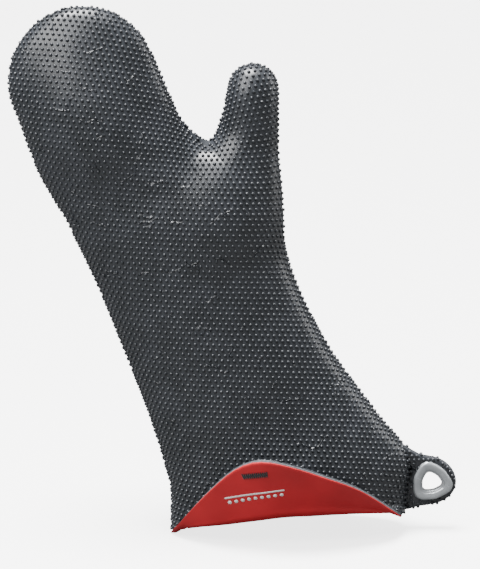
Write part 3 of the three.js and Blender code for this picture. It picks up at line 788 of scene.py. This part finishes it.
def tabOutline():  # the tab solid's own outline, its flank tucked under the cuff's edge
    bm = bmesh.new()
    bm.from_mesh(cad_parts["hang_tab"].data)
    bmesh.ops.remove_doubles(bm, verts=bm.verts, dist=weld)
    rear = [f for f in bm.faces if max(v.co.y for v in f.verts) > tabLow.y + 0.1 * mm]
    bmesh.ops.delete(bm, geom=rear, context="FACES")
    loops = []
    left = dict.fromkeys(borderOf(bm))
    while left:
        here = next(iter(left))
        loop = []
        while here is not None:
            loop.append(here.co.copy())
            del left[here]
            here = next((e.other_vert(here) for e in here.link_edges
                         if e.is_boundary and e.other_vert(here) in left), None)
        loops.append(loop)
    bm.free()
    points = max(loops, key=lambda loop: max(p.x for p in loop) - min(p.x for p in loop))
    fine = []
    for a, b in zip(points, points[1:] + points[:1], strict=True):
        parts = max(1, round((b - a).length / tabLook["step"]))
        fine += [a.lerp(b, n / parts) for n in range(parts)]
    for _ in range(tabLook["easing"]):  # eases the outline's corners
        fine = [(fine[k - 1] + 2 * p + fine[(k + 1) % len(fine)]) / 4 for k, p in enumerate(fine)]
    for p in fine:
        away = Vector((p.x - eyeletMiddle.x, p.z - eyeletMiddle.z)).length
        beyondRing = p.x < eyeletMiddle.x and away > eyeletLook["radius"] + tabLook["tuckPast"]
        if beyondRing or p.x < eyeletMiddle.x - tabLook["tuckFrom"]:
            p.x -= tabLook["tuck"]
    return fine


def makeTab():  # pillow of turned laminate, thin at its edge, with the barrel's hole
    points = tabOutline()
    middle = eyeletMiddle
    bm = bmesh.new()
    hole = eyeletLook["hole"] + tabLook["holeSlack"]
    sides = {}
    for way in (-1, 1):
        rings = []
        for share in tabLook["rings"]:
            ring = []
            for p in points:
                angle = math.atan2(p.z - middle.z, p.x - middle.x)
                reach = triangleReach(angle, hole)
                inner = Vector((middle.x + reach * math.cos(angle), 0, middle.z + reach * math.sin(angle)))
                spot = Vector((p.x, 0, p.z)).lerp(inner, share)
                edge = min((spot - Vector((p.x, 0, p.z))).length / tabLook["edge"], 1.0)
                depth = tabDepth / 2 * math.sqrt(max(0.0, 1 - (1 - edge) ** 2))
                spot.y = tabMiddleY + way * max(depth, tabLook["thinnest"])
                ring.append(bm.verts.new(spot))
            rings.append(ring)
        sides[way] = rings
    count = len(points)
    for way, rings in sides.items():
        for a, b in zip(rings, rings[1:], strict=False):
            for k in range(count):
                quad = [a[k], a[(k + 1) % count], b[(k + 1) % count], b[k]]
                bm.faces.new(quad if way < 0 else quad[::-1])
    for index in (0, -1):
        a, b = sides[-1][index], sides[1][index]
        for k in range(count):
            quad = [a[k], a[(k + 1) % count], b[(k + 1) % count], b[k]]
            bm.faces.new(quad[::-1] if index == 0 else quad)
    bmesh.ops.recalc_face_normals(bm, faces=bm.faces)
    flat = bm.loops.layers.uv.new(flatMap)
    for face in bm.faces:
        for loop in face.loops:
            loop[flat].uv = (loop.vert.co.x, loop.vert.co.z)
    piece = addPiece("hangTab", bm, rubber)
    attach(piece, "root")
    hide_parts("hang_tab")
    return piece


tab = makeTab()


def tabNubs(way):  # one face of the tab carries its own part of the lattice
    bm = bmesh.new()
    bm.from_mesh(tab.data)
    bm.normal_update()
    drop = []
    for face in bm.faces:
        spot = face.calc_center_median()
        away = Vector((spot.x - eyeletMiddle.x, spot.z - eyeletMiddle.z))
        angle = math.atan2(away.y, away.x)
        ringEdge = triangleReach(angle, eyeletLook["radius"] + tabLook["nubsFromRing"])
        if (spot.y - tabMiddleY) * way <= tabLook["nubsFromEdge"] or away.length < ringEdge:
            drop.append(face)
    bmesh.ops.delete(bm, geom=drop, context="FACES")
    carrier = addPiece("tabCarrier", bm, rubber)
    return addNubs("tabNubsFront" if way < 0 else "tabNubsBack", carrier, nubLook["pitch"] * tabLook["nubShare"])


tabNubPieces = [tabNubs(-1), tabNubs(1)]
bpy.data.objects.remove(nub)
print("tab and eyelet made")
lightLook = {"ambient": 0.42, "backdrop": 5.5, "floorGlow": 3.0, "floorBounce": 0.12,
             "scrim": {"comesFrom": (-0.15, 0.02, 1.0), "width": 30, "strength": 14.0},
             "left": {"place": (-0.9, -0.9, 1.4), "target": (-0.05, 0, 0.2), "size": (1.0, 1.0), "power": 34},
             "right": {"place": (1.3, 0.3, 0.9), "target": (0, 0, 0.2), "size": (0.5, 1.2), "power": 10}}
stageLook = {"floor": "f7f7f6", "floorReach": 6.0, "aim": (0.0039, 0.0047, 0.1985), "elevation": 12.0,
             "distance": 2.0, "frameWidth": 0.3734, "sensor": 36.0}
white = (1, 1, 1, 1)


def makeFloor():  # gloss white sweep
    finish, tree, shader = newFinish("whiteFloor", stageLook["floor"], 0.22)
    shader.inputs["Emission Color"].default_value = white
    shader.inputs["Emission Strength"].default_value = lightLook["floorGlow"]
    # the floor's glow is for the background only, so that it does not light the mitt from below
    dim = addNode(tree, "ShaderNodeBsdfDiffuse", {"Color": [lightLook["floorBounce"]] * 3 + [1.0]})
    seen = addNode(tree, "ShaderNodeLightPath").outputs["Is Camera Ray"]
    both = addNode(tree, "ShaderNodeMixShader", {0: seen, 1: dim.outputs[0], 2: shader.outputs[0]})
    tree.links.new(both.outputs[0], tree.nodes["Material Output"].inputs["Surface"])
    bm = bmesh.new()
    bmesh.ops.create_grid(bm, x_segments=1, y_segments=1, size=stageLook["floorReach"])
    addPiece("floor", bm, finish)


def addLight(name, lamp, direction, place=(0, 0, 0)):  # direction is from the target to the light
    holder = bpy.data.objects.new(name, lamp)
    holder.location = place
    holder.rotation_euler = Vector(direction).to_track_quat("Z", "Y").to_euler()
    scene.collection.objects.link(holder)


def addSoftbox(name, place, target, size, power):
    lamp = bpy.data.lights.new(name, "AREA")
    lamp.shape = "RECTANGLE"
    lamp.size, lamp.size_y = size
    lamp.energy = power
    addLight(name, lamp, Vector(place) - Vector(target), place)


def addScrim(name, comesFrom, width, strength):  # even light from overhead, wide enough for soft shadows
    lamp = bpy.data.lights.new(name, "SUN")
    lamp.energy = strength
    lamp.angle = math.radians(width)
    addLight(name, lamp, comesFrom)


def makeSky():  # soft light all round, and a pale wall beyond the floor
    scene.world = scene.world or bpy.data.worlds.new("studio")
    scene.world.use_nodes = True
    tree = scene.world.node_tree
    glow = tree.nodes["Background"]
    glow.inputs["Color"].default_value = white
    glow.inputs["Strength"].default_value = lightLook["ambient"]
    wall = addNode(tree, "ShaderNodeBackground", {"Color": white, "Strength": lightLook["backdrop"]})
    seen = addNode(tree, "ShaderNodeLightPath").outputs["Is Camera Ray"]
    both = addNode(tree, "ShaderNodeMixShader", {0: seen, 1: glow.outputs[0], 2: wall.outputs[0]})
    tree.links.new(both.outputs[0], tree.nodes["World Output"].inputs["Surface"])


makeFloor()
makeSky()
addScrim("overheadScrim", **lightLook["scrim"])
addSoftbox("leftSoftbox", **lightLook["left"])
addSoftbox("rightSoftbox", **lightLook["right"])

tilt = math.radians(stageLook["elevation"])
camera = bpy.data.objects.new("camera", bpy.data.cameras.new("camera"))
camera.location = Vector(stageLook["aim"]) + stageLook["distance"] * Vector((0, -math.cos(tilt), math.sin(tilt)))
camera.rotation_euler = (math.pi / 2 - tilt, 0, 0)
camera.data.sensor_width = stageLook["sensor"]
camera.data.sensor_fit = "HORIZONTAL"
camera.data.lens = stageLook["sensor"] * stageLook["distance"] / stageLook["frameWidth"]
scene.collection.objects.link(camera)
scene.camera = camera
print("floor, lights and camera placed")
